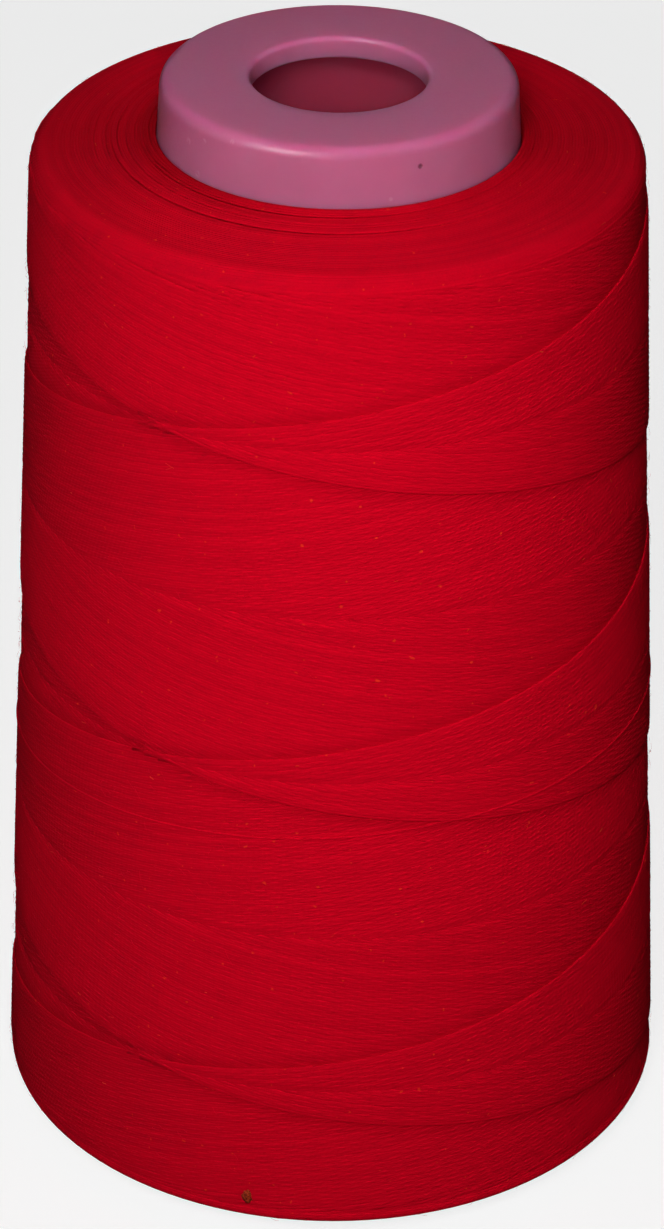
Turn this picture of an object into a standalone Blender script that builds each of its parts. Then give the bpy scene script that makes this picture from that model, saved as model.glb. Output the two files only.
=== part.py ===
"""A cone of sewing thread: a cross-wound package of thread on a hollow moulded plastic core.

The part stands on its core's foot. +Z is the winding axis, the origin is the centre of the foot's
underside, and -Y is the front. Lengths are in metres.
"""

import math

import bmesh
import bpy

# Core: a tapered tube closed at the top by a flat nose wall with a round hole.
HEIGHT = 0.1134  # foot to nose
NOSE_RADIUS = 0.0170
FOOT_RADIUS = 0.0240
WALL = 0.0018
NOSE_WALL = 0.0022
HOLE_RADIUS = 0.00845
NOSE_ROUND = 0.0012  # outer edge of the nose
HOLE_ROUND = 0.0005  # mouth of the hole
FOOT_ROUND = 0.0004  # both edges of the foot

# Thread package: its outline, and the clearance that keeps it off the core.
BOTTOM_RADIUS = 0.0340
TOP_RADIUS = 0.0295
BOTTOM_Z = 0.0025
SHOULDER_Z = 0.1062
NOSE_MEET_Z = 0.1077  # where the thread reaches the core below the nose
BOTTOM_RISE = 0.0008  # the underside is slightly hollow towards the core
SHOULDER_ROUND = 0.0022
BOTTOM_ROUND = 0.0009
CLEARANCE = 0.0003

# Winding: the thread climbs one way and comes back the other, a lead apart on each turn. The newest
# turns of each way lie a thread proud of the oldest, which makes two families of helical bands.
THREAD = 0.00028
LEAD = 0.0352
RISING_START_Z = 0.0217  # height of a rising band's edge at the front
FALLING_START_Z = 0.0155  # height of a falling band's edge at the front
BAND_HARMONICS = 3  # keeps the band's step no finer than the mesh

SIDES = 96
SIDE_ROWS = 38
ARC_STEPS = 4

THREAD_COLOUR = (0.52, 0.002, 0.012, 1.0)
CORE_COLOUR = (0.42, 0.12, 0.22, 1.0)


def clear_scene():
    for obj in list(bpy.data.objects):
        bpy.data.objects.remove(obj, do_unlink=True)


def plain_material(name, colour, roughness):
    material = bpy.data.materials.new(name)
    material.use_nodes = True
    shader = material.node_tree.nodes["Principled BSDF"]
    shader.inputs["Base Color"].default_value = colour
    shader.inputs["Roughness"].default_value = roughness
    shader.inputs["Metallic"].default_value = 0.0
    material.diffuse_color = colour
    return material


def rounded(corner, before, after, radius):
    """Points of an arc of this radius that replaces a corner, between the points before and after it."""
    px, pz = corner
    ways = []
    for x, z in (before, after):
        length = math.hypot(x - px, z - pz)
        ways.append(((x - px) / length, (z - pz) / length))
    (ax, az), (bx, bz) = ways
    half = math.acos(max(-1.0, min(1.0, ax * bx + az * bz))) / 2
    reach = radius / math.tan(half)
    middle = math.hypot(ax + bx, az + bz)
    cx = px + (ax + bx) / middle * radius / math.sin(half)
    cz = pz + (az + bz) / middle * radius / math.sin(half)
    first = math.atan2(pz + az * reach - cz, px + ax * reach - cx)
    last = math.atan2(pz + bz * reach - cz, px + bx * reach - cx)
    sweep = (last - first + math.pi) % (2 * math.pi) - math.pi
    angles = [first + sweep * step / ARC_STEPS for step in range(ARC_STEPS + 1)]
    return [(cx + radius * math.cos(a), cz + radius * math.sin(a)) for a in angles]


def outline(corners):
    """The closed profile (radius, height) through these (radius, height, rounding) corners."""
    points = []
    for index, (r, z, rounding) in enumerate(corners):
        before = corners[index - 1][:2]
        after = corners[(index + 1) % len(corners)][:2]
        if rounding:
            points += rounded((r, z), before, after, rounding)
        else:
            points.append((r, z))
    return points


def core_radius(z):
    return FOOT_RADIUS + (NOSE_RADIUS - FOOT_RADIUS) * z / HEIGHT


def side_radius(z):
    share = (z - BOTTOM_Z) / (SHOULDER_Z - BOTTOM_Z)
    return BOTTOM_RADIUS + (TOP_RADIUS - BOTTOM_RADIUS) * share


def turned(name, profile, material):
    """A closed body of revolution about Z, from a closed profile of (radius, height) points."""
    mesh = bpy.data.meshes.new(name)
    shape = bmesh.new()
    rings = []
    for side in range(SIDES):
        angle = 2 * math.pi * side / SIDES
        ring = [shape.verts.new((r * math.cos(angle), r * math.sin(angle), z)) for r, z in profile]
        rings.append(ring)
    for side, ring in enumerate(rings):
        following = rings[(side + 1) % SIDES]
        for index in range(len(profile)):
            nearer = index - 1
            shape.faces.new((ring[nearer], ring[index], following[index], following[nearer]))
    bmesh.ops.recalc_face_normals(shape, faces=shape.faces)
    shape.to_mesh(mesh)
    shape.free()
    mesh.shade_smooth()
    mesh.set_sharp_from_angle(angle=math.radians(35))
    mesh.materials.append(material)
    obj = bpy.data.objects.new(name, mesh)
    bpy.context.scene.collection.objects.link(obj)
    return obj


def band(share):
    """A softened sawtooth from -1 to 1 that falls from one band's edge to the next."""
    waves = [math.sin(2 * math.pi * k * share) / k for k in range(1, BAND_HARMONICS + 1)]
    return sum(waves) * 2 / math.pi


def wind_bands(obj):
    """Raises the package's side by up to half a thread for each family, along its helical bands."""
    clear_of_ends = 2 * SHOULDER_ROUND
    for vertex in obj.data.vertices:
        x, y, z = vertex.co
        radius = math.hypot(x, y)
        on_side = radius > side_radius(z) - THREAD
        if not on_side or not BOTTOM_Z + clear_of_ends < z < SHOULDER_Z - clear_of_ends:
            continue
        turn = math.atan2(x, -y) / (2 * math.pi)
        rising = (RISING_START_Z - z) / LEAD + turn
        falling = (z - FALLING_START_Z) / LEAD + turn
        proud = THREAD / 4 * (band(rising % 1.0) + band(falling % 1.0))
        vertex.co.x *= (radius + proud) / radius
        vertex.co.y *= (radius + proud) / radius
    obj.data.update()


def make_core():
    inner_top = HEIGHT - NOSE_WALL
    corners = [
        (FOOT_RADIUS, 0.0, FOOT_ROUND),
        (NOSE_RADIUS, HEIGHT, NOSE_ROUND),
        (HOLE_RADIUS, HEIGHT, HOLE_ROUND),
        (HOLE_RADIUS, inner_top, 0.0),
        (core_radius(inner_top) - WALL, inner_top, 0.0),
        (FOOT_RADIUS - WALL, 0.0, FOOT_ROUND),
    ]
    material = plain_material("core_plastic", CORE_COLOUR, 0.42)
    return turned("plastic_core", outline(corners), material)


def make_package():
    inner_top = core_radius(NOSE_MEET_Z) + CLEARANCE
    inner_bottom = core_radius(BOTTOM_Z + BOTTOM_RISE) + CLEARANCE
    ends = [
        (BOTTOM_RADIUS, BOTTOM_Z, BOTTOM_ROUND),
        (TOP_RADIUS, SHOULDER_Z, SHOULDER_ROUND),
        (inner_top, NOSE_MEET_Z, 0.0),
        (inner_bottom, BOTTOM_Z + BOTTOM_RISE, 0.0),
    ]
    corners = outline(ends)
    lower = corners[ARC_STEPS]
    upper = corners[ARC_STEPS + 1]
    side = []
    for row in range(1, SIDE_ROWS):
        share = row / SIDE_ROWS
        side.append((lower[0] + (upper[0] - lower[0]) * share, lower[1] + (upper[1] - lower[1]) * share))
    profile = corners[: ARC_STEPS + 1] + side + corners[ARC_STEPS + 1 :]
    material = plain_material("sewing_thread", THREAD_COLOUR, 0.8)
    package = turned("thread_package", profile, material)
    wind_bands(package)
    return package


clear_scene()
make_core()
make_package()
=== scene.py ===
"""The looks of a cone of crimson sewing thread on a translucent pink core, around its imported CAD.

+Z is the winding axis and -Y is the front. Lengths are in metres.
"""

import math

import bmesh
import bpy
import numpy as np
from mathutils import Matrix, Vector


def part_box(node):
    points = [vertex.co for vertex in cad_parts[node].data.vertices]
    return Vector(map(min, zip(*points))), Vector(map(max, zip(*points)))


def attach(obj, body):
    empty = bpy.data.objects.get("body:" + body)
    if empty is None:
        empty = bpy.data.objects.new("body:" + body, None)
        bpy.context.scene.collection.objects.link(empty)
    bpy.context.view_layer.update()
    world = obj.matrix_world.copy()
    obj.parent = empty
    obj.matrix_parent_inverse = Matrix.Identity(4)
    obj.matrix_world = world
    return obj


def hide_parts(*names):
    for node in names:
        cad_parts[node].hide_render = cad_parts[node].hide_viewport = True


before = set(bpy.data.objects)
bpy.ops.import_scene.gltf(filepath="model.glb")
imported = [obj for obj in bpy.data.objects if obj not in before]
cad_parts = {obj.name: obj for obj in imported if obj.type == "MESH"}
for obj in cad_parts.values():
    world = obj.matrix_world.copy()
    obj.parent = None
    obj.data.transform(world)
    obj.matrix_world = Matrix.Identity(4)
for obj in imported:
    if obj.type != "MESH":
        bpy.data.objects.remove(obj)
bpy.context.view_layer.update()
rng = np.random.default_rng(20)

MM = 0.001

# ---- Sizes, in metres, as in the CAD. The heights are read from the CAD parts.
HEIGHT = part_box("plastic_core")[1][2]
FOOT_RADIUS = 24.0 * MM
NOSE_RADIUS = 17.0 * MM
HOLE_RADIUS = 8.45 * MM
WALL = 1.8 * MM
NOSE_WALL = 2.2 * MM
NOSE_ROUND = 1.2 * MM
HOLE_ROUND = 0.5 * MM
FOOT_ROUND = 0.4 * MM
CORE_SIDES = 192

wound_low, wound_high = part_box("thread_package")
BOTTOM_Z = wound_low[2]
NOSE_MEET_Z = wound_high[2]  # where the thread reaches the core below the nose
SHOULDER_Z = NOSE_MEET_Z - 1.5 * MM
BOTTOM_RADIUS = 34.0 * MM
TOP_RADIUS = 29.5 * MM
BOTTOM_RISE = 0.8 * MM  # the underside is slightly hollow towards the core
SHOULDER_ROUND = 2.2 * MM
BOTTOM_ROUND = 0.9 * MM
BASE_SIDES = 120

# ---- Winding. Each strand climbs LEAD per turn one way and comes back the other. Where strands of
# the two ways cross, the younger lies on top, so each way shows as helical bands. A strand's share
# is its place in its band, from 0 for the youngest to 1 for the oldest.
THREAD = 0.285 * MM
LEAD = 35.2 * MM
STRANDS = 126
RISING_START_Z = BOTTOM_Z + 19.2 * MM  # height of a rising band's edge at the front
FALLING_START_Z = BOTTOM_Z + 13.0 * MM
CROSSING_Z = (RISING_START_Z + FALLING_START_Z) / 2
CROSSINGS = range(-6, 7)  # half a lead apart, past both ends of the package
STEP_SHARE = 0.72  # how much of a thread a band's edge stands proud
STRAND_WIDTH = 1.65 * THREAD  # a laid strand spreads a little flat
STRAND_HEIGHT = 0.92 * THREAD
STRAND_SPREAD = 0.007 * MM  # how far strands lie from even along the axis
STRAND_WOBBLE = 0.006 * MM
STRAND_LIFT = 0.003 * MM
TURN_POINTS = 66  # points in one turn of a strand
EASE = 1.2 * MM  # how gently a strand turns round at the package's ends
LOWEST_Z = BOTTOM_Z + 0.9 * MM  # strands turn round between these heights
HIGHEST_Z = SHOULDER_Z - 0.9 * MM
RANK_LOW, RANK_SPREAD = 0.02, 0.58  # how close to the ends strands stop: a low rank is closest
RANK_STEP = 0.618034  # sets neighbouring strands apart in rank

# A strand comes out from under the others, lies on top, and goes under again: distances from each
# end of that stretch, and how deep it lies at each of them, in threads.
LEAD_IN = np.array([-0.6, -0.2, 0.15, 0.7]) * MM
TAIL = np.array([0.0, 0.3, 0.7]) * MM
BURIED = 1.0, 0.75, 0.25, 0.0, 0.0, 0.2, 0.45
SHORT_RUN = 0.9 * MM  # a shorter stretch gets a shorter lead in
LEAVING = 1.2 * MM  # how far before its last point a strand starts to go down
GROOVE_FROM = 0.945  # the strands from this share on lie in the groove beside a band's edge, with painted shade
GROOVE_SHADE = 2.0  # how far their tone falls, which paints shade on them

# Level turns over the shoulder and the foot.
TOP_RINGS = 2.6 * MM  # how far down the side those of the shoulder reach
BOTTOM_RINGS = 2.4 * MM
TOP_SINKING = 2.4 * MM, 2.2 * MM  # strands sink under them: this far from the end, over this height
BOTTOM_SINKING = 2.2 * MM, 1.8 * MM
RING_WIDTHS = 1.65, 1.25  # in threads: at the package's edge, and on its end
RING_HEIGHT = 1.02 * THREAD
RING_PITCH = 0.98 * THREAD
RING_POINTS = 120  # points in one level turn
RING_WOBBLE = 0.005 * MM

# One turn strays almost level across the bands and dives under the others at both ends.
STRAY_TURN = 68.0  # where it is highest, in degrees round from the front
STRAY_Z = 49.2 * MM
STRAY_REACH = 170.0  # degrees to each of its ends
STRAY_BEND = 160.0  # degrees over which it turns down, from level to straight
STRAY_FALL = 0.0978 * MM  # a degree, once it runs straight
STRAY_WOBBLE = 0.02 * MM
STRAY_POINTS = 420

# Loose fibres, lint and a slub.
HAIRS = 5000
HAIR_WIDTH = 0.022 * MM
LINT = 170
LINT_WIDTH = 0.08 * MM
LINT_HEIGHT = 0.05 * MM
FIBRE_POINTS = 4
SLUB_TURN = -14.1  # degrees round from the front
SLUB_Z = 5.3 * MM
SLUB_ACROSS, SLUB_OUT, SLUB_UP = 0.52, 0.36, 0.78  # its half sizes, in millimetres

# Sections of tubes, as the directions of their corners. 90 degrees faces out of the package.
LAID = np.radians([0, 45, 70, 90, 110, 135, 180, 270])
ROUND = np.radians(np.arange(18, 360, 36))
THIN = np.radians([90, 210, 330])
SQUARE = np.radians([0, 90, 180, 270])


# ---- Mesh helpers


def link(name, mesh, material, smooth=True):
    mesh.materials.append(material)
    if smooth:
        mesh.shade_smooth()
    obj = bpy.data.objects.new(name, mesh)
    bpy.context.scene.collection.objects.link(obj)
    return obj


def quads_mesh(name, points, quads, caps=()):
    """A mesh from arrays of (n, 3) points, (m, 4) quads, and caps of (k, sides) corners each."""
    mesh = bpy.data.meshes.new(name)
    groups = [quads, *caps]
    corners = np.concatenate([g.ravel() for g in groups]).astype(np.int32)
    sizes = np.concatenate([np.full(len(g), g.shape[1]) for g in groups]).astype(np.int32)
    starts = np.concatenate([[0], np.cumsum(sizes)[:-1]]).astype(np.int32)
    mesh.vertices.add(len(points))
    mesh.vertices.foreach_set("co", points.astype(np.float32).ravel())
    mesh.loops.add(len(corners))
    mesh.loops.foreach_set("vertex_index", corners)
    mesh.polygons.add(len(sizes))
    mesh.polygons.foreach_set("loop_start", starts)
    mesh.polygons.foreach_set("loop_total", sizes)
    mesh.update(calc_edges=True)
    mesh.validate()
    return mesh


def tubes(name, lines, normals, widths, heights, tones, material, angle=LAID):
    """One mesh of closed tubes along lines of (n, 3) points. Normals face out of the package."""
    counts = np.array([len(line) for line in lines])
    centre = np.concatenate(lines)
    normal = np.concatenate(normals)
    width = np.concatenate(widths)[:, None, None] / 2
    height = np.concatenate(heights)[:, None, None] / 2
    owner = np.repeat(np.arange(len(lines)), counts)
    tangent = np.concatenate([np.gradient(line, axis=0) for line in lines])
    tangent /= np.linalg.norm(tangent, axis=1)[:, None]
    across = np.cross(tangent, normal)
    across /= np.linalg.norm(across, axis=1)[:, None]
    sides = len(angle)
    ring = (
        centre[:, None]
        + across[:, None] * np.cos(angle)[None, :, None] * width
        + normal[:, None] * np.sin(angle)[None, :, None] * height
    )
    first = np.flatnonzero(owner[:-1] == owner[1:])
    side = np.arange(sides)
    following = (side + 1) % sides
    here = first[:, None] * sides
    there = (first[:, None] + 1) * sides
    quads = np.stack([here + side, there + side, there + following, here + following], -1)
    ends = np.cumsum(counts) - 1
    starts = ends - counts + 1
    caps = [starts[:, None] * sides + side[None], ends[:, None] * sides + side[::-1][None]]
    mesh = quads_mesh(name, ring.reshape(-1, 3), quads.reshape(-1, 4), caps)
    along = np.cumsum(np.concatenate([np.r_[0, stretches(line)] for line in lines]))
    along -= along[starts][owner]
    put(mesh, "along", np.repeat(along, sides))
    put(mesh, "lobe_cos", np.tile(np.cos(2 * angle), len(centre)))
    put(mesh, "lobe_sin", np.tile(np.sin(2 * angle), len(centre)))
    put(mesh, "tone", np.repeat(np.concatenate(tones), sides))
    return link(name, mesh, material)


def stretches(line):
    """The distance from each point of a line to the next."""
    return np.linalg.norm(np.diff(line, axis=0), axis=1)


def put(mesh, name, values):
    """Stores one number for each point of the mesh, for the materials to read."""
    layer = mesh.attributes.new(name, "FLOAT", "POINT")
    layer.data.foreach_set("value", values.astype(np.float32))


def arc_corner(corner, before, after, radius, steps):
    """Points of an arc that replaces a corner of a (radius, height) outline."""
    corner, before, after = (np.array(p, float) for p in (corner, before, after))
    one = (before - corner) / np.linalg.norm(before - corner)
    two = (after - corner) / np.linalg.norm(after - corner)
    half = math.acos(float(one @ two)) / 2
    middle = (one + two) / np.linalg.norm(one + two)
    centre = corner + middle * radius / math.sin(half)
    start = corner + one * radius / math.tan(half) - centre
    end = corner + two * radius / math.tan(half) - centre
    first = math.atan2(start[1], start[0])
    sweep = (math.atan2(end[1], end[0]) - first + math.pi) % (2 * math.pi) - math.pi
    angles = first + sweep * np.linspace(0, 1, steps + 1)
    return centre + radius * np.stack([np.cos(angles), np.sin(angles)], -1)


def outline(corners, steps=5):
    """A closed (radius, height) outline through (radius, height, rounding) corners."""
    found = []
    for index, (r, z, rounding) in enumerate(corners):
        before = corners[index - 1][:2]
        after = corners[(index + 1) % len(corners)][:2]
        if rounding:
            found.append(arc_corner((r, z), before, after, rounding, steps))
        else:
            found.append(np.array([[r, z]]))
    return np.concatenate(found)


def resample(points, spacing, closed=False):
    """The same path with no stretch longer than spacing."""
    route = np.concatenate([points, points[:1]]) if closed else points
    out = []
    for a, b in zip(route[:-1], route[1:]):
        pieces = max(1, math.ceil(np.linalg.norm(b - a) / spacing))
        out.append(a + (b - a) * (np.arange(pieces) / pieces)[:, None])
    if not closed:
        out.append(route[-1:])
    return np.concatenate(out)


def turned(name, profile, sides, material):
    """A body of revolution from a closed (radius, height) profile that runs anticlockwise."""
    turn = 2 * np.pi * np.arange(sides) / sides
    r, z = profile[:, 0], profile[:, 1]
    x, y = np.outer(np.cos(turn), r), np.outer(np.sin(turn), r)
    points = np.stack([x, y, np.tile(z, (sides, 1))], -1)
    count = len(profile)
    side = np.arange(sides)[:, None] * count
    after = ((np.arange(sides) + 1) % sides)[:, None] * count
    index = np.arange(count)[None]
    following = (np.arange(count) + 1)[None] % count
    quads = np.stack([side + index, after + index, after + following, side + following], -1)
    mesh = quads_mesh(name, points.reshape(-1, 3), quads.reshape(-1, 4))
    return link(name, mesh, material)


# ---- Node helpers


def new_material(name):
    material = bpy.data.materials.new(name)
    material.use_nodes = True
    tree = material.node_tree
    return material, tree, tree.nodes["Principled BSDF"]


def node(tree, kind, **settings):
    made = tree.nodes.new(kind)
    for key, value in settings.items():
        setattr(made, key, value)
    return made


def maths(tree, operation, *inputs):
    made = node(tree, "ShaderNodeMath", operation=operation)
    for socket, value in zip(made.inputs, inputs):
        if isinstance(value, (int, float)):
            socket.default_value = value
        else:
            tree.links.new(value, socket)
    return made.outputs[0]


def times(tree, one, two):
    return maths(tree, "MULTIPLY", one, two)


def plus(tree, one, two):
    return maths(tree, "ADD", one, two)


def attribute(tree, name):
    return node(tree, "ShaderNodeAttribute", attribute_name=name).outputs["Fac"]


def object_place(tree):
    return node(tree, "ShaderNodeTexCoord").outputs["Object"]


def axes(tree, place):
    parts = node(tree, "ShaderNodeSeparateXYZ")
    tree.links.new(place, parts.inputs[0])
    return parts.outputs


def noise(tree, vector, scale, detail, roughness=0.5, distortion=0.0):
    made = node(tree, "ShaderNodeTexNoise")
    made.inputs["Scale"].default_value = scale
    made.inputs["Detail"].default_value = detail
    made.inputs["Roughness"].default_value = roughness
    made.inputs["Distortion"].default_value = distortion
    tree.links.new(vector, made.inputs["Vector"])
    return made.outputs["Fac"]


def ramp(tree, value, low, high, out_low=0.0, out_high=1.0):
    """Goes smoothly from out_low at low to out_high at high."""
    made = node(tree, "ShaderNodeMapRange", interpolation_type="SMOOTHSTEP")
    made.inputs["From Min"].default_value = low
    made.inputs["From Max"].default_value = high
    made.inputs["To Min"].default_value = out_low
    made.inputs["To Max"].default_value = out_high
    tree.links.new(value, made.inputs["Value"])
    return made.outputs["Result"]


def mix(tree, share, one, two):
    """A colour between one and two. Each is a colour or a socket."""
    made = node(tree, "ShaderNodeMix", data_type="RGBA")
    for socket, value in ((made.inputs[0], share), (made.inputs[6], one), (made.inputs[7], two)):
        if isinstance(value, (int, float, tuple)):
            socket.default_value = value
        else:
            tree.links.new(value, socket)
    return made.outputs[2]


def bump(tree, height, distance, shader):
    made = node(tree, "ShaderNodeBump")
    made.inputs["Strength"].default_value = 1.0
    made.inputs["Distance"].default_value = distance
    tree.links.new(height, made.inputs["Height"])
    tree.links.new(made.outputs["Normal"], shader.inputs["Normal"])


# ---- Materials. The scales of noises are per metre.

RED = (0.60, 0.0008, 0.0125, 1.0)
RED_DEEP = (0.53, 0.0006, 0.0115, 1.0)
RED_BRIGHT = (0.67, 0.0010, 0.0145, 1.0)
RED_SHADED_BESIDE_CORE = (0.30, 0.0003, 0.004, 1.0)  # painted shade where the top's turns lie against the core
RED_SHADED_IN_GROOVE = (0.36, 0.0004, 0.006, 1.0)  # painted shade beside a band's edge, where a strand's tone is below 0
FLECK = (0.85, 0.045, 0.012, 1.0)
LINT_DULL = (0.60, 0.015, 0.012, 1.0)
LINT_BRIGHT = (0.70, 0.075, 0.018, 1.0)
SLUB_DARK = (0.10, 0.006, 0.003, 1.0)
SLUB_RED = (0.40, 0.045, 0.012, 1.0)
SHEEN_TINT = (1.0, 0.25, 0.30, 1.0)
THREAD_SHEEN = 0.06
PLY_TWIST = 1.1 * MM  # the plies go once round the thread in this length

PLASTIC = (0.53, 0.143, 0.275, 1.0)
PLASTIC_CLOUDED = (*(0.93 * channel for channel in PLASTIC[:3]), 1.0)
PLASTIC_LIT_TOP = (0.68, 0.158, 0.335, 1.0)  # painted light: the flat top is painted lighter
PLASTIC_PALE = (0.60, 0.27, 0.40, 1.0)  # scuffs
PLASTIC_BACKED = (0.42, 0.039, 0.090, 1.0)  # where red thread lies behind the plastic
# painted shade inside the pinholes
PINHOLE = (0.24, 0.035, 0.085, 1.0)

# Small marks on the nose's side: degrees round from the front, millimetres below the top, and
# radius in millimetres.
PINHOLES = ((26.2, 2.3, 0.30),)
NICKS = (
    (16.3, 5.1, 0.28),
    (-49.4, 5.2, 0.50),
    (-46.8, 1.7, 0.40),
    (-54.6, 2.5, 0.45),
    (-35.4, 0.7, 0.35),
)


def painted_shade_beside_core(tree, place):
    """How much shade is painted on the top's turns that lie against the core, up to 1, most at its
    left and back.
    """
    x, y, z = axes(tree, place)
    radius = maths(tree, "POWER", plus(tree, times(tree, x, x), times(tree, y, y)), 0.5)
    close = ramp(tree, radius, NOSE_RADIUS + 0.2 * MM, NOSE_RADIUS + 4.2 * MM, 0.65, 0.0)
    on_top = ramp(tree, z, SHOULDER_Z - 0.5 * MM, SHOULDER_Z + 0.5 * MM)
    behind = maths(tree, "SUBTRACT", times(tree, y, 0.8), times(tree, x, 0.45))
    away = ramp(tree, maths(tree, "DIVIDE", behind, radius), -0.85, -0.2, 0.2, 1.0)
    return times(tree, times(tree, close, on_top), away)


def thread_material(name, twist=True):
    """Matt crimson thread. With twist, its plies show as a bump along each tube."""
    material, tree, shader = new_material(name)
    place = object_place(tree)
    drift = noise(tree, place, scale=140.0, detail=3.0)
    fibre = noise(tree, place, scale=5200.0, detail=3.0, roughness=0.65)
    speck = noise(tree, place, scale=1500.0, detail=1.0)
    tone = attribute(tree, "tone")
    blend = plus(tree, times(tree, tone, 0.3), times(tree, fibre, 0.7))
    colour = mix(tree, ramp(tree, blend, 0.15, 0.85), RED_DEEP, RED_BRIGHT)
    colour = mix(tree, ramp(tree, drift, 0.35, 0.65, 0.0, 0.35), colour, RED)
    colour = mix(tree, ramp(tree, speck, 0.74, 0.80, 0.0, 0.55), colour, FLECK)
    # painted shade in the grooves beside the bands' edges, where a strand's tone is below 0
    colour = mix(tree, ramp(tree, tone, -1.5, 0.0, 0.30, 0.0), colour, RED_SHADED_IN_GROOVE)
    # painted shade on the top's turns beside the core
    colour = mix(tree, painted_shade_beside_core(tree, place), colour, RED_SHADED_BESIDE_CORE)
    tree.links.new(colour, shader.inputs["Base Color"])
    tree.links.new(ramp(tree, fibre, 0.2, 0.8, 0.78, 0.95), shader.inputs["Roughness"])
    shader.inputs["Specular IOR Level"].default_value = THREAD_SHEEN
    shader.inputs["Specular Tint"].default_value = SHEEN_TINT
    height = times(tree, fibre, 0.5)
    if twist:
        lay = times(tree, attribute(tree, "along"), 4 * math.pi / PLY_TWIST)
        plies = plus(
            tree,
            times(tree, maths(tree, "COSINE", lay), attribute(tree, "lobe_cos")),
            times(tree, maths(tree, "SINE", lay), attribute(tree, "lobe_sin")),
        )
        height = plus(tree, height, times(tree, plies, 0.25))
    bump(tree, height, 0.03 * MM, shader)
    return material


def fluff_material(name):
    """The start of a material for lint and slub, which are duller than laid thread."""
    material, tree, shader = new_material(name)
    shader.inputs["Roughness"].default_value = 0.9
    shader.inputs["Specular IOR Level"].default_value = THREAD_SHEEN
    return material, tree, shader


def lint_material():
    material, tree, shader = fluff_material("lint_looks")
    colour = mix(tree, ramp(tree, attribute(tree, "tone"), 0.1, 0.9), LINT_DULL, LINT_BRIGHT)
    tree.links.new(colour, shader.inputs["Base Color"])
    return material


def slub_material():
    material, tree, shader = fluff_material("slub_looks")
    fibre = noise(tree, object_place(tree), scale=3600.0, detail=3.0, roughness=0.65)
    colour = mix(tree, ramp(tree, fibre, 0.35, 0.62), SLUB_DARK, SLUB_RED)
    tree.links.new(colour, shader.inputs["Base Color"])
    bump(tree, fibre, 0.06 * MM, shader)
    return material


def spots(tree, place, marks):
    """1 at each mark on the nose's side, fading to 0 at the mark's radius."""
    total = None
    for turn, below, radius in marks:
        z = HEIGHT - below * MM
        r, angle = core_radius(z), math.radians(turn)
        apart = node(tree, "ShaderNodeVectorMath", operation="DISTANCE")
        tree.links.new(place, apart.inputs[0])
        apart.inputs[1].default_value = (r * math.sin(angle), -r * math.cos(angle), z)
        one = ramp(tree, apart.outputs["Value"], 0.35 * radius * MM, radius * MM, 1.0, 0.0)
        total = one if total is None else maths(tree, "MAXIMUM", total, one)
    return total


def plastic_material():
    """Waxy translucent pink, with a clouded, lightly scuffed surface, and painted light on its flat
    top.
    """
    material, tree, shader = new_material("core_plastic_looks")
    place = object_place(tree)
    cloud = noise(tree, place, scale=160.0, detail=3.0)
    grain = noise(tree, place, scale=2600.0, detail=3.0, roughness=0.6)
    scuff = noise(tree, place, scale=620.0, detail=4.0, roughness=0.7, distortion=1.5)
    pinholes = spots(tree, place, PINHOLES)
    nicks = times(tree, spots(tree, place, NICKS), ramp(tree, scuff, 0.35, 0.55))
    # painted light: the flat top is painted lighter
    on_top = ramp(tree, axes(tree, place)["Z"], HEIGHT - 0.8 * MM, HEIGHT - 0.1 * MM, 0.0, 0.8)
    colour = mix(tree, ramp(tree, cloud, 0.3, 0.7), PLASTIC, PLASTIC_CLOUDED)
    colour = mix(tree, on_top, colour, PLASTIC_LIT_TOP)
    colour = mix(tree, ramp(tree, scuff, 0.70, 0.78, 0.0, 0.25), colour, PLASTIC_PALE)
    colour = mix(tree, times(tree, nicks, 0.55), colour, PLASTIC_PALE)
    # painted shade in the pinholes
    colour = mix(tree, pinholes, colour, PINHOLE)
    colour = mix(tree, attribute(tree, "backed"), colour, PLASTIC_BACKED)
    tree.links.new(colour, shader.inputs["Base Color"])
    tree.links.new(ramp(tree, grain, 0.3, 0.7, 0.34, 0.42), shader.inputs["Roughness"])
    shader.inputs["Subsurface Weight"].default_value = 1.0
    shader.inputs["Subsurface Radius"].default_value = (1.0, 0.45, 0.6)
    shader.inputs["Subsurface Scale"].default_value = 4.5 * MM
    shader.inputs["Specular IOR Level"].default_value = 0.35
    height = plus(tree, times(tree, grain, 0.5), times(tree, cloud, 2.0))
    height = maths(tree, "SUBTRACT", height, times(tree, pinholes, 8.0))
    bump(tree, height, 0.02 * MM, shader)
    return material


# ---- The thread package


def side_radius(z):
    share = (z - BOTTOM_Z) / (SHOULDER_Z - BOTTOM_Z)
    return BOTTOM_RADIUS + (TOP_RADIUS - BOTTOM_RADIUS) * share


def core_radius(z):
    return FOOT_RADIUS + (NOSE_RADIUS - FOOT_RADIUS) * z / HEIGHT


SLOPE = (TOP_RADIUS - BOTTOM_RADIUS) / (SHOULDER_Z - BOTTOM_Z)
SIDE_NORMAL = np.array([1.0, -SLOPE]) / math.hypot(1.0, SLOPE)


def smooth(share):
    share = np.clip(share, 0.0, 1.0)
    return share * share * (3.0 - 2.0 * share)


def eased(s):
    """Height of a strand whose plain helix would be at s. It turns round before an end."""
    z = HIGHEST_Z - EASE * np.logaddexp(0.0, (HIGHEST_Z - s) / EASE)
    return LOWEST_Z + EASE * np.logaddexp(0.0, (z - LOWEST_Z) / EASE)


def wobble(turn, size):
    """A strand's own small unevenness, as a function of the angle round the package."""
    total = np.zeros_like(turn)
    for waves in (2.3, 5.1, 9.7):
        total += np.sin(turn * waves + rng.uniform(0, 2 * np.pi)) * rng.normal(0, size)
    return total


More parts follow.
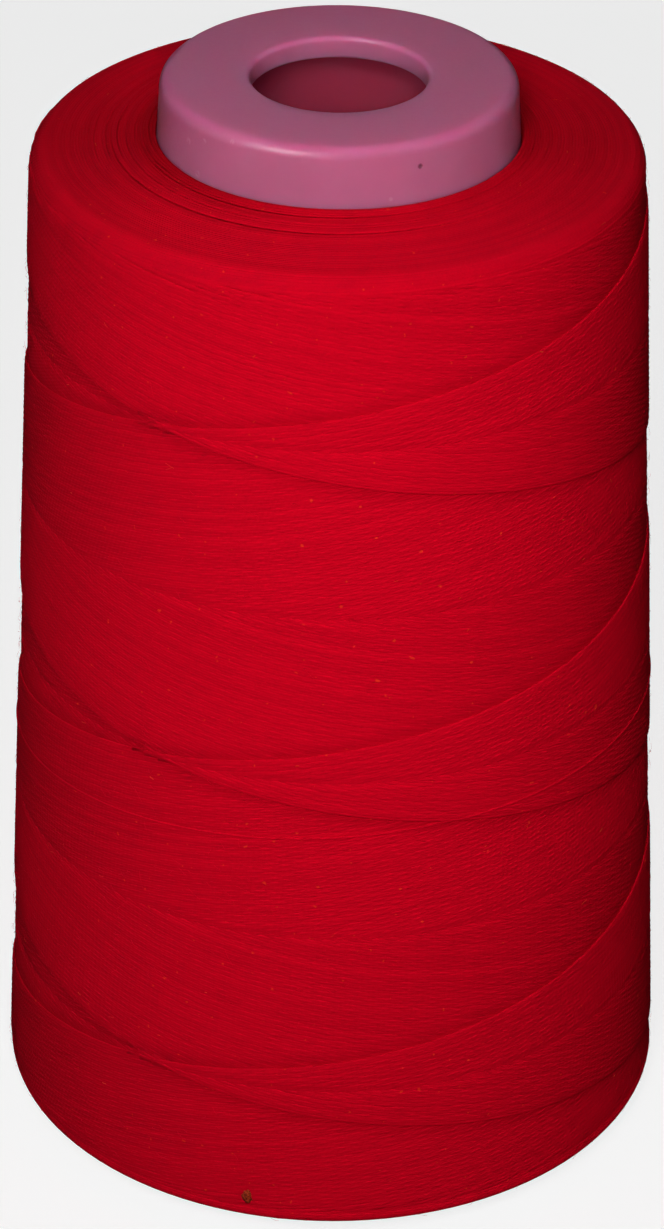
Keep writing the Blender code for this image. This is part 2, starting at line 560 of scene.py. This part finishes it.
def sunk_at_ends(z):
    """How far a strand has sunk under the level turns at the package's ends, in threads."""
    top = smooth((z - (SHOULDER_Z - TOP_SINKING[0])) / TOP_SINKING[1])
    bottom = smooth((BOTTOM_Z + BOTTOM_SINKING[0] - z) / BOTTOM_SINKING[1])
    return 0.9 * np.maximum(top, bottom)


def placed(radius, turn, z):
    """The points at these radii, angles round from the front, and heights."""
    return np.stack([radius * np.sin(turn), -radius * np.cos(turn), z], -1)


def upright(turn):
    """The unit vectors out of the side of the package, one for each angle."""
    return placed(SIDE_NORMAL[0], turn, np.full_like(turn, SIDE_NORMAL[1]))


def sunk_beside_edge(younger, older):
    """How much lower strands lie beside a band's edge: its first ones, and the last before it."""
    first = 0.25 * np.exp(-younger * STRANDS / 1.3)
    last = 0.22 * smooth((older - 0.82) / 0.18)
    return THREAD * (first + last)


def strand_runs(direction):
    """The stretches where the strands of one way lie on top, as (points, normals, tone)."""
    start_z = RISING_START_Z if direction > 0 else FALLING_START_Z
    step = LEAD / TURN_POINTS
    runs = []
    for age in range(STRANDS):
        share = age / STRANDS
        rank = RANK_LOW + RANK_SPREAD * ((age * RANK_STEP) % 1.0)
        reach = EASE * math.log((1 - rank) / rank)
        lowest, highest = LOWEST_Z - reach, HIGHEST_Z + reach
        offset = rng.normal(0, STRAND_SPREAD)
        tone = rng.random()
        lift = rng.normal(0, STRAND_LIFT)
        length = (1 - share) * LEAD / 2
        lead_in = LEAD_IN.copy()
        lead_in[2:] *= min(1.0, length / SHORT_RUN)
        tail = length + TAIL
        inner = np.arange(lead_in[-1] + step, length - 0.15 * MM, step)
        for crossing in CROSSINGS:
            begin = CROSSING_Z + crossing * LEAD / 2
            first, last = sorted(((lowest - begin) * direction, (highest - begin) * direction))
            way = np.unique(np.clip(np.concatenate([lead_in, inner, tail]), first, last))
            if len(way) < 3:
                continue
            s = begin + direction * way
            turn = direction * (s - start_z + direction * share * LEAD) / LEAD * 2 * np.pi
            other = np.clip(share + way / (LEAD / 2), share, 1.0)  # the share of the strand crossed
            z = eased(s) + offset + wobble(turn, STRAND_WOBBLE)
            proud = STEP_SHARE * THREAD * (1.0 - share - other) - sunk_beside_edge(share, other)
            buried = np.interp(way, [*lead_in, *tail], BURIED)
            leaving = 1.0 - smooth(np.minimum(s - lowest, highest - s) / LEAVING)
            buried = np.maximum(buried, leaving) + sunk_at_ends(z)
            radius = side_radius(z) + proud - THREAD * (0.5 + buried) + lift
            # the tone falls beside a band's edge, to paint shade in the groove there
            painted_groove_shade = smooth((other - GROOVE_FROM) / (1.0 - GROOVE_FROM))
            points = placed(radius, turn, z)
            runs.append((points, upright(turn), tone - GROOVE_SHADE * painted_groove_shade))
    return runs


def even_tubes(name, runs, width, height, material, angle=LAID):
    """Tubes of one size from (points, normals, tone) runs. A tone is one number, or one a point."""
    lines, normals, tones = zip(*runs)
    ones = [np.ones(len(line)) for line in lines]
    widths = [width * one for one in ones]
    heights = [height * one for one in ones]
    tones = [tone * one for tone, one in zip(tones, ones)]
    return tubes(name, lines, normals, widths, heights, tones, material, angle)


def surface_proud(turn, z):
    """How far the bands lift the package's side at this angle and height."""
    rising = (turn / (2 * np.pi) - (z - RISING_START_Z) / LEAD) % 1.0
    falling = (turn / (2 * np.pi) + (z - FALLING_START_Z) / LEAD) % 1.0
    beside = sunk_beside_edge(np.minimum(rising, falling), np.maximum(rising, falling))
    return STEP_SHARE * THREAD * (1.0 - rising - falling) - beside


def stray_run():
    """The turn that strays, as (points, normals, tone)."""
    off = np.linspace(-STRAY_REACH, STRAY_REACH, STRAY_POINTS)
    turn = np.radians(STRAY_TURN + off)
    bend = np.hypot(off, STRAY_BEND) - STRAY_BEND
    z = STRAY_Z - STRAY_FALL * bend + wobble(turn, STRAY_WOBBLE)
    window = np.hanning(9)  # it bridges the steps between bands
    proud = np.convolve(surface_proud(turn, z), window / window.sum(), "same")
    diving = 1.0 - smooth((STRAY_REACH - np.abs(off)) / 10.0)
    radius = side_radius(z) + proud - THREAD * (0.20 + 1.4 * diving)
    return placed(radius, turn, z), upright(turn), 0.3


def package_profile(inset, gap):
    """The package's closed outline, drawn in by inset, and this far off the core."""
    inner_top = core_radius(NOSE_MEET_Z) + gap
    inner_bottom = core_radius(BOTTOM_Z + BOTTOM_RISE) + gap
    return outline(
        [
            (BOTTOM_RADIUS - inset, BOTTOM_Z + inset, BOTTOM_ROUND),
            (TOP_RADIUS - inset, SHOULDER_Z - inset, SHOULDER_ROUND),
            (inner_top, NOSE_MEET_Z - inset, 0.0),
            (inner_bottom, BOTTOM_Z + BOTTOM_RISE + inset, 0.0),
        ]
    )


def package_skin():
    """The package's outside, as a path from the core out underneath, up, and in to the core."""
    profile = package_profile(0.0, RING_WIDTHS[1] * THREAD / 2 + 0.03 * MM)
    return resample(np.concatenate([profile[-1:], profile[:-1]]), 0.25 * MM)


def end_turns(name, path, outward, material, unevenness):
    """One spiral of thread over an end of the package, on a (radius, height) path to the core."""
    lengths = np.r_[0, np.cumsum(stretches(path))]
    whole = lengths[-1]
    turns = whole / RING_PITCH
    turn = np.linspace(0, turns * 2 * np.pi, int(turns * RING_POINTS))
    at = turn / turn[-1] * whole
    uneven = unevenness(at, turn)
    weave = (0.2 + uneven) * np.sin(turn * 0.37 + 1.3 * np.sin(turn * 0.11)) * 0.05 * MM
    at = np.clip(at + weave + wobble(turn, RING_WOBBLE), 0, whole)
    r, z = np.interp(at, lengths, path[:, 0]), np.interp(at, lengths, path[:, 1])
    ahead, behind = np.clip(at + 0.05 * MM, 0, whole), np.clip(at - 0.05 * MM, 0, whole)
    dr = np.interp(ahead, lengths, path[:, 0]) - np.interp(behind, lengths, path[:, 0])
    dz = np.interp(ahead, lengths, path[:, 1]) - np.interp(behind, lengths, path[:, 1])
    size = np.hypot(dr, dz)
    out_r, out_z = outward * dz / size, -outward * dr / size
    beginning = 1.0 - smooth(at / (2.4 * MM))
    ending = 1.0 - smooth((turn[-1] - turn) / 0.8)
    groove = np.sin(at / (0.23 * MM) + 1.5 * np.sin(turn * 0.031))
    groove = groove + 0.8 * np.sin(at / (0.43 * MM) + 2.0)
    buried = THREAD * (0.5 + 0.9 * beginning + 1.2 * ending)
    lift = (0.005 + 0.12 * uneven) * groove * MM - buried
    line = placed(r + out_r * lift, turn, z + out_z * lift)
    normal = placed(out_r, turn, out_z)
    tone = 0.5 + 0.4 * np.sin(turn * 0.21 + 2.0 * np.sin(turn * 0.053))
    narrowing = smooth((at - 3.0 * MM) / (3.0 * MM))
    width = THREAD * (RING_WIDTHS[0] + (RING_WIDTHS[1] - RING_WIDTHS[0]) * narrowing)
    height = np.full(len(line), RING_HEIGHT)
    return tubes(name, [line], [normal], [width], [height], [tone], material)


def top_unevenness(at, turn):
    """The top's turns are smooth near its edge and uneven near the core, most at the front left."""
    near = smooth((at - 6.0 * MM) / (6.0 * MM))
    return near * (0.25 + 0.75 * (0.5 + 0.5 * np.cos(turn + 0.9)) ** 2)


def no_unevenness(at, turn):
    return 0.0 * at


# ---- Loose fibres, lint and a slub on the package


def fibre_runs(skin, count, shortest, longest, proud, bare=0.0):
    """Short curved fibres strewn over the package, fewer within bare radians of the front."""
    along = np.linspace(0.0, 1.0, FIBRE_POINTS)
    step = np.diff(skin, axis=0)
    length = stretches(skin)
    weight = length * skin[:-1, 0]
    runs = []
    for pick in rng.choice(len(step), count, p=weight / weight.sum()):
        r, z = skin[pick]
        up_r, up_z = step[pick] / length[pick]
        turn = rng.uniform(-np.pi, np.pi)
        if abs(turn) < bare and rng.random() < 0.8:
            turn = math.copysign(rng.uniform(bare, np.pi), turn)
        heading = rng.normal(0, 0.5) + np.pi * rng.integers(0, 2)
        size = rng.uniform(shortest, longest)
        reach = size * along + 0.15 * size * np.sin(along * 3.0 + rng.uniform(0, 6.0))
        height = rng.uniform(0.15, 1.0) * proud
        out = height * np.sin(along * rng.uniform(1.7, 3.0)) - 0.05 * MM
        angle = turn + reach * np.cos(heading) / r
        rise = reach * np.sin(heading)
        points = placed(r + up_r * rise + up_z * out, angle, z + up_z * rise - up_r * out)
        normals = placed(up_z, angle, np.full_like(angle, -up_r))
        runs.append((points, normals, rng.random()))
    return runs


def slub(material):
    """A knot of waste fibre caught in the turns near the foot of the package."""
    shape = bmesh.new()
    bmesh.ops.create_icosphere(shape, subdivisions=4, radius=1.0)
    turn, z = math.radians(SLUB_TURN), SLUB_Z
    out = Vector((math.sin(turn), -math.cos(turn), 0.0))
    across = Vector((math.cos(turn), math.sin(turn), 0.0))
    depth = side_radius(z) + float(surface_proud(turn, z)) - 0.05 * MM
    middle = out * depth + Vector((0.0, 0.0, z))
    for vertex in shape.verts:
        x, y, up = vertex.co
        lump = 1.0 + 0.16 * math.sin(5 * x + 3 * up) * math.cos(4 * up - 2 * y)
        lump += 0.07 * math.sin(17 * x - 13 * up)
        narrow = 1.0 - 0.25 * up
        place = across * x * SLUB_ACROSS * narrow + out * y * SLUB_OUT
        place += Vector((0.0, 0.0, up * SLUB_UP))
        vertex.co = middle + place * lump * MM
    mesh = bpy.data.meshes.new("slub")
    shape.to_mesh(mesh)
    shape.free()
    return link("slub", mesh, material)


def make_package():
    thread = thread_material("thread_looks")
    ground = thread_material("thread_ground_looks", twist=False)
    under_strands = package_profile(1.7 * THREAD, 0.3 * MM)
    inside = resample(under_strands, 2.5 * MM, closed=True)
    base = turned("thread_base", inside, BASE_SIDES, ground)
    put(base.data, "tone", np.full(len(base.data.vertices), 0.2))
    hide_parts("thread_package")
    made = [base]
    middle = (BOTTOM_Z + SHOULDER_Z) / 2
    for direction, name in ((1, "rising_turns"), (-1, "falling_turns")):
        runs = strand_runs(direction)
        upper = [run for run in runs if run[0][:, 2].mean() > middle]
        lower = [run for run in runs if run[0][:, 2].mean() <= middle]
        made.append(even_tubes(f"{name}_upper", upper, STRAND_WIDTH, STRAND_HEIGHT, thread))
        made.append(even_tubes(f"{name}_lower", lower, STRAND_WIDTH, STRAND_HEIGHT, thread))
    made.append(even_tubes("stray_turn", [stray_run()], THREAD, THREAD, thread, ROUND))
    skin = package_skin()
    on_side = (skin[:, 0] > TOP_RADIUS - 1.0 * MM) & (skin[:, 1] > BOTTOM_Z + BOTTOM_RINGS)
    foot = np.flatnonzero(on_side)[0]
    shoulder = np.flatnonzero(on_side & (skin[:, 1] < SHOULDER_Z - TOP_RINGS))[-1]
    made.append(end_turns("top_turns", skin[shoulder:], 1.0, thread, top_unevenness))
    made.append(end_turns("bottom_turns", skin[foot::-1], -1.0, thread, no_unevenness))
    hairs = fibre_runs(skin, HAIRS, 0.4 * MM, 1.5 * MM, 0.26 * MM)
    made.append(even_tubes("loose_fibres", hairs, HAIR_WIDTH, HAIR_WIDTH, ground, THIN))
    lint = fibre_runs(skin, LINT, 0.25 * MM, 0.8 * MM, 0.10 * MM, bare=0.5)
    made.append(even_tubes("lint", lint, LINT_WIDTH, LINT_HEIGHT, lint_material(), SQUARE))
    made.append(slub(slub_material()))
    for piece in made:
        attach(piece, "root")


# ---- The core


def make_core():
    inner_top = HEIGHT - NOSE_WALL
    corners = [
        (FOOT_RADIUS, 0.0, FOOT_ROUND),
        (NOSE_RADIUS, HEIGHT, NOSE_ROUND),
        (HOLE_RADIUS, HEIGHT, HOLE_ROUND),
        (HOLE_RADIUS, inner_top, 0.25 * MM),
        (core_radius(inner_top) - WALL, inner_top, 0.8 * MM),
        (FOOT_RADIUS - WALL, 0.0, FOOT_ROUND),
    ]
    profile = resample(outline(corners, steps=8), 1.5 * MM, closed=True)
    core = turned("core_shell", profile, CORE_SIDES, plastic_material())
    r, z = profile.T
    within = (r < core_radius(z) - WALL / 2) & (z < inner_top + 0.05 * MM) & (z > BOTTOM_Z)
    covered = (z > BOTTOM_Z + 1.0 * MM) & (z < NOSE_MEET_Z - 1.0 * MM)
    put(core.data, "backed", np.tile((within | covered).astype(float), CORE_SIDES))
    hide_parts("plastic_core")
    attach(core, "root")


# ---- Stage, lights and camera


STAGE_SIZE = 4.0
WHITE = (1.0, 1.0, 1.0, 1.0)
BLACK = (0.0, 0.0, 0.0, 1.0)
FLOOR_PAINT = (0.24, 0.24, 0.24, 1.0)
FLOOR_GLOW = 0.79
SKY_PAINT = (0.93, 0.93, 0.93, 1.0)
FILL = 0.024
NARROW_GAIN = 8.2  # how much brighter the key gets once its beam is narrowed


def seen_only(obj):
    """The camera sees this piece of the stage, but it throws no light onto the object."""
    obj.visible_diffuse = False
    obj.visible_glossy = False
    obj.visible_transmission = False
    obj.visible_shadow = False


def make_stage():
    mesh = bpy.data.meshes.new("floor")
    corners = [(x * STAGE_SIZE, y * STAGE_SIZE, 0) for x, y in ((-1, -1), (1, -1), (1, 1), (-1, 1))]
    mesh.from_pydata(corners, [], [(0, 1, 2, 3)])
    material, _, shader = new_material("floor_paint")
    shader.inputs["Base Color"].default_value = FLOOR_PAINT
    shader.inputs["Roughness"].default_value = 0.9
    shader.inputs["Specular IOR Level"].default_value = 0.1
    shader.inputs["Emission Color"].default_value = WHITE
    shader.inputs["Emission Strength"].default_value = FLOOR_GLOW
    floor = link("floor", mesh, material, smooth=False)
    seen_only(floor)

    shape = bmesh.new()
    bmesh.ops.create_uvsphere(shape, u_segments=48, v_segments=24, radius=STAGE_SIZE)
    mesh = bpy.data.meshes.new("sky")
    shape.to_mesh(mesh)
    shape.free()
    material, _, shader = new_material("sky_paint")
    shader.inputs["Base Color"].default_value = BLACK
    shader.inputs["Specular IOR Level"].default_value = 0.0
    shader.inputs["Emission Color"].default_value = SKY_PAINT
    shader.inputs["Emission Strength"].default_value = 1.0
    sky = link("sky", mesh, material)
    seen_only(sky)

    world = bpy.data.worlds.new("studio")
    world.use_nodes = True
    bpy.context.scene.world = world
    background = world.node_tree.nodes["Background"]
    background.inputs["Color"].default_value = WHITE
    background.inputs["Strength"].default_value = FILL


def soft_light(name, azimuth, elevation, distance, size, brightness):
    """A round soft light that looks at the object, this many degrees round from the front and up.

    White paint that faces it gets this brightness.
    """
    light = bpy.data.lights.new(name, "AREA")
    light.shape = "DISK"
    light.size = size
    light.energy = brightness * (math.pi * distance) ** 2
    obj = bpy.data.objects.new(name, light)
    target = Vector((0, 0, HEIGHT / 2))
    a, e = math.radians(azimuth), math.radians(elevation)
    away = Vector((math.sin(a) * math.cos(e), -math.cos(a) * math.cos(e), math.sin(e)))
    obj.location = target + away * distance
    obj.rotation_euler = away.to_track_quat("Z", "Y").to_euler()
    obj.visible_camera = False
    bpy.context.scene.collection.objects.link(obj)
    return obj


def make_lights():
    """Three lights near the camera and two behind. Each lights surfaces or their gloss, not both."""
    key = soft_light("key", -4.0, 36.3, distance=0.38, size=0.14, brightness=0.715 / NARROW_GAIN)
    key.data.spread = math.radians(60.0)
    key.visible_glossy = False
    low = soft_light("low", -3.0, 22.0, distance=0.38, size=0.14, brightness=0.155)
    low.visible_glossy = False
    glint = soft_light("glint", -38.0, 40.0, distance=0.46, size=0.10, brightness=0.90)
    glint.visible_diffuse = False
    back = soft_light("back", 180.0, -8.0, distance=1.2, size=0.5, brightness=0.50)
    back.visible_glossy = False
    card = soft_light("gloss_card", 180.0, 36.0, distance=1.0, size=0.7, brightness=0.03)
    card.visible_diffuse = False


def make_camera():
    """The camera stands in front and above, looks down, and leans a little to the left."""
    place = Vector((0.0, -414.5 * MM, 300.4 * MM))
    pitch, yaw, roll = 0.5367, -0.0006, 0.0087  # radians
    level = Vector((math.sin(yaw), math.cos(yaw), 0.0))
    forward = level * math.cos(pitch) - Vector((0.0, 0.0, math.sin(pitch)))
    right = Vector((math.cos(yaw), -math.sin(yaw), 0.0))
    up = right.cross(forward)
    x = right * math.cos(roll) + up * math.sin(roll)
    y = up * math.cos(roll) - right * math.sin(roll)
    camera = bpy.data.objects.new("camera", bpy.data.cameras.new("camera"))
    camera.data.lens = 139.8
    camera.data.sensor_width = 36.0
    camera.data.clip_start = 0.01
    turned_to = Matrix((x, y, -forward)).transposed().to_4x4()
    camera.matrix_world = Matrix.Translation(place) @ turned_to
    bpy.context.scene.collection.objects.link(camera)
    bpy.context.scene.camera = camera


def main():
    bpy.context.scene.view_settings.view_transform = "Standard"
    make_camera()
    make_package()
    make_core()
    make_stage()
    make_lights()


main()
